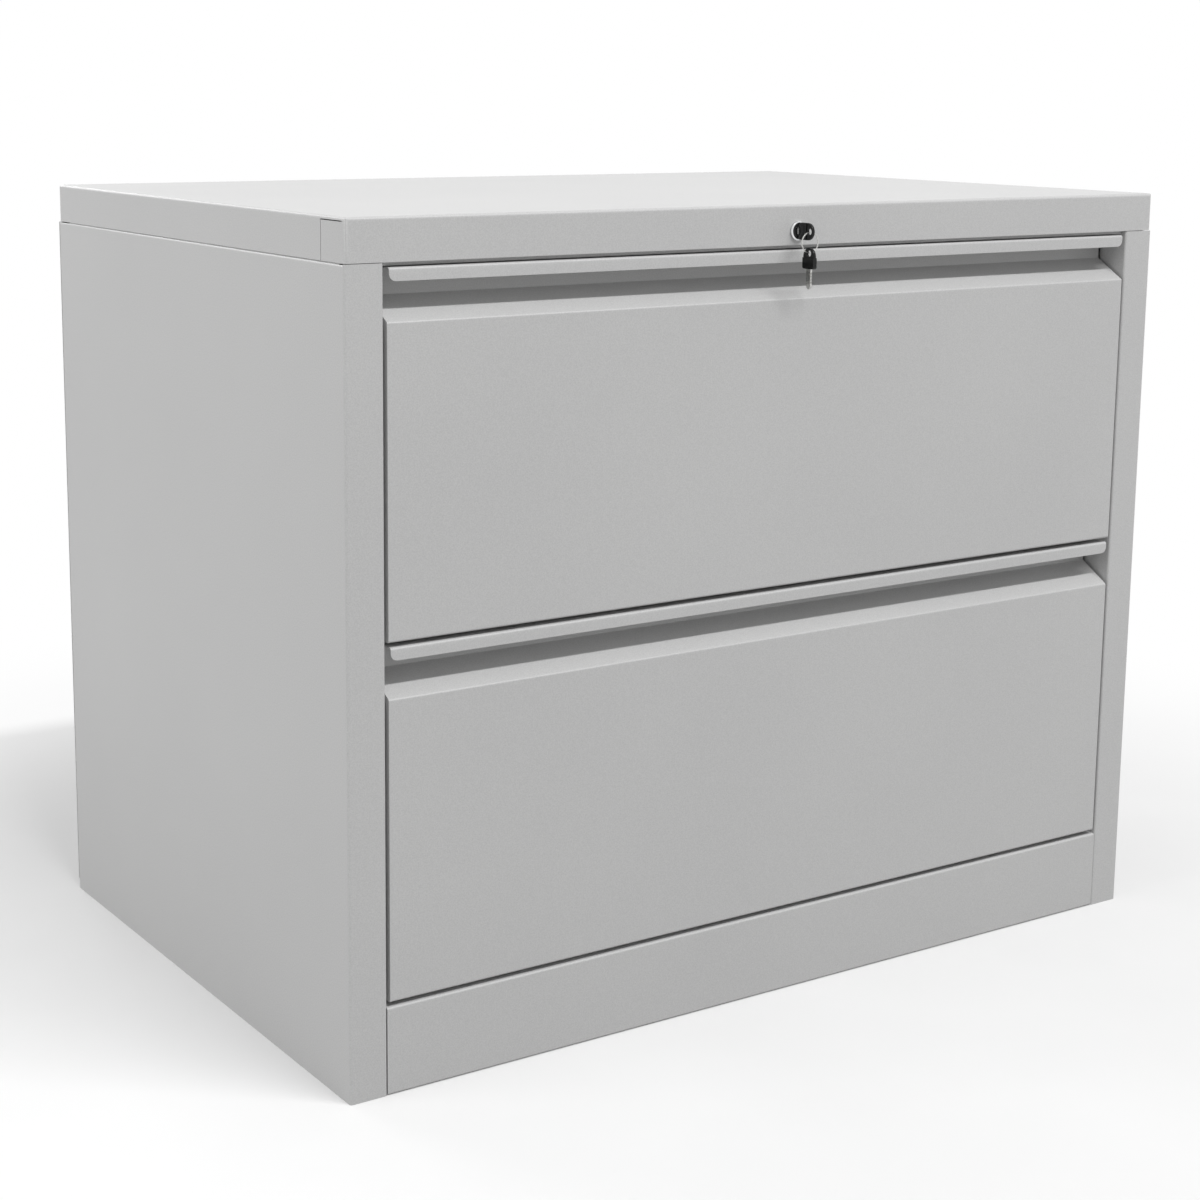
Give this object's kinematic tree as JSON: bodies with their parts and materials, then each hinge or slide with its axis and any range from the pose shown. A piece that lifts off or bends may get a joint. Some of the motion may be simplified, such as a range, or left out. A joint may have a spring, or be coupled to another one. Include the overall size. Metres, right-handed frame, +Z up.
{
  "type": "lateral filing cabinet",
  "caption": "Low, wide sheet-steel filing cabinet with full-width drawers on ball-bearing slides, folded finger pulls and a key lock in the top rim.",
  "frame": {"origin": "on the floor, at the middle of the overall box, the key's reach in front included", "axes": "+X to the right along the width, +Y towards the back, +Z up"},
  "size_m": [0.9, 0.625, 0.73],
  "materials": {
    "body_grey": "light grey powder coat, satin with a fine orange-peel",
    "zinc_steel": "bright zinc plate",
    "ball_steel": "bright steel",
    "chrome": "polished chrome",
    "key_steel": "nickel-plated",
    "black_plastic": "satin black"
  },
  "bodies": {
    "cabinet": {"top_panel": "body_grey", "back_panel": "body_grey", "base_panel": "body_grey", "plinth": "body_grey", "left_side_panel": "body_grey", "left_front_upright": "zinc_steel", "left_rear_upright": "zinc_steel", "right_side_panel": "body_grey", "right_front_upright": "zinc_steel", "right_rear_upright": "zinc_steel", "lock_housing": "chrome", "lock_nut": "zinc_steel", "lock_rod_bracket": "zinc_steel", "lock_bar_guide": "zinc_steel", "upper_left_cabinet_rail": "zinc_steel", "upper_right_cabinet_rail": "zinc_steel", "lower_left_cabinet_rail": "zinc_steel", "lower_right_cabinet_rail": "zinc_steel"},
    "upper_drawer": {"upper_drawer_front": "body_grey", "upper_inner_front": "body_grey", "upper_drawer_bottom": "body_grey", "upper_back_wall": "body_grey", "upper_front_hang_rail": "body_grey", "upper_rear_hang_rail": "body_grey", "upper_left_wall": "body_grey", "upper_right_wall": "body_grey", "upper_lock_catch": "zinc_steel", "upper_left_drawer_rail": "zinc_steel", "upper_right_drawer_rail": "zinc_steel"},
    "upper_middle_rails": {"upper_left_middle_rail": "zinc_steel", "upper_right_middle_rail": "zinc_steel"},
    "upper_outer_ball_retainers": {"upper_left_outer_ball_retainer": "ball_steel", "upper_right_outer_ball_retainer": "ball_steel"},
    "upper_inner_ball_retainers": {"upper_left_inner_ball_retainer": "ball_steel", "upper_right_inner_ball_retainer": "ball_steel"},
    "lower_drawer": {"lower_drawer_front": "body_grey", "lower_inner_front": "body_grey", "lower_drawer_bottom": "body_grey", "lower_back_wall": "body_grey", "lower_front_hang_rail": "body_grey", "lower_rear_hang_rail": "body_grey", "lower_left_wall": "body_grey", "lower_right_wall": "body_grey", "lower_lock_catch": "zinc_steel", "lower_left_drawer_rail": "zinc_steel", "lower_right_drawer_rail": "zinc_steel"},
    "lower_middle_rails": {"lower_left_middle_rail": "zinc_steel", "lower_right_middle_rail": "zinc_steel"},
    "lower_outer_ball_retainers": {"lower_left_outer_ball_retainer": "ball_steel", "lower_right_outer_ball_retainer": "ball_steel"},
    "lower_inner_ball_retainers": {"lower_left_inner_ball_retainer": "ball_steel", "lower_right_inner_ball_retainer": "ball_steel"},
    "lock_core": {"lock_plug": "chrome", "lock_rod": "zinc_steel"},
    "lock_bar": {"lock_bar": "zinc_steel"},
    "key": {"key_blade": "key_steel", "key_bow": "black_plastic"},
    "key_ring": {"key_ring": "key_steel"},
    "spare_key": {"spare_key_blade": "key_steel", "spare_key_bow": "black_plastic"}
  },
  "joints": [
    {"name": "upper_drawer_slide", "type": "slide", "parent": "cabinet", "child": "upper_drawer", "axis": [0, -1, 0], "range_m": [0, 0.45], "deforming": ["key_ring", "spare_key_blade", "spare_key_bow"]},
    {"name": "upper_middle_rails_slide", "type": "slide", "parent": "cabinet", "child": "upper_middle_rails", "axis": [0, -1, 0], "range_m": [0, 0.225]},
    {"name": "upper_outer_ball_retainers_slide", "type": "slide", "parent": "cabinet", "child": "upper_outer_ball_retainers", "axis": [0, -1, 0], "range_m": [0, 0.1125]},
    {"name": "upper_inner_ball_retainers_slide", "type": "slide", "parent": "cabinet", "child": "upper_inner_ball_retainers", "axis": [0, -1, 0], "range_m": [0, 0.3375]},
    {"name": "lower_drawer_slide", "type": "slide", "parent": "cabinet", "child": "lower_drawer", "axis": [0, -1, 0], "range_m": [0, 0.45]},
    {"name": "lower_middle_rails_slide", "type": "slide", "parent": "cabinet", "child": "lower_middle_rails", "axis": [0, -1, 0], "range_m": [0, 0.225]},
    {"name": "lower_outer_ball_retainers_slide", "type": "slide", "parent": "cabinet", "child": "lower_outer_ball_retainers", "axis": [0, -1, 0], "range_m": [0, 0.1125]},
    {"name": "lower_inner_ball_retainers_slide", "type": "slide", "parent": "cabinet", "child": "lower_inner_ball_retainers", "axis": [0, -1, 0], "range_m": [0, 0.3375]},
    {"name": "lock_turn", "type": "hinge", "parent": "cabinet", "child": "lock_core", "pos_m": [0, -0.2875, 0.7065], "axis": [0, 1, 0], "range_deg": [0, 90]},
    {"name": "lock_bar_drop", "type": "slide", "parent": "cabinet", "child": "lock_bar", "axis": [0, 0, -1], "range_m": [0, 0.01697]},
    {"name": "key_pull", "type": "slide", "parent": "lock_core", "child": "key", "axis": [0, -1, 0], "range_m": [0, 0.03]},
    {"name": "key_ring_swing", "type": "hinge", "parent": "key", "child": "key_ring", "pos_m": [0, -0.305, 0.7061], "axis": [0, 1, 0], "range_deg": [-45, 0]},
    {"name": "spare_key_swing", "type": "hinge", "parent": "key_ring", "child": "spare_key", "pos_m": [0, -0.305, 0.6881], "axis": [0, 1, 0], "range_deg": [-45, 0]}
  ],
  "couplings": [
    {"joint": "upper_middle_rails_slide", "follows": "upper_drawer_slide", "ratio": 0.5},
    {"joint": "upper_outer_ball_retainers_slide", "follows": "upper_drawer_slide", "ratio": 0.25},
    {"joint": "upper_inner_ball_retainers_slide", "follows": "upper_drawer_slide", "ratio": 0.75},
    {"joint": "lower_middle_rails_slide", "follows": "lower_drawer_slide", "ratio": 0.5},
    {"joint": "lower_outer_ball_retainers_slide", "follows": "lower_drawer_slide", "ratio": 0.25},
    {"joint": "lower_inner_ball_retainers_slide", "follows": "lower_drawer_slide", "ratio": 0.75},
    {"joint": "lock_turn", "follows": "lock_bar_drop", "rad_per_m": 92.56},
    {"joint": "key_ring_swing", "follows": "lock_bar_drop", "rad_per_m": -46.28},
    {"joint": "spare_key_swing", "follows": "lock_bar_drop", "rad_per_m": -46.28}
  ]
}
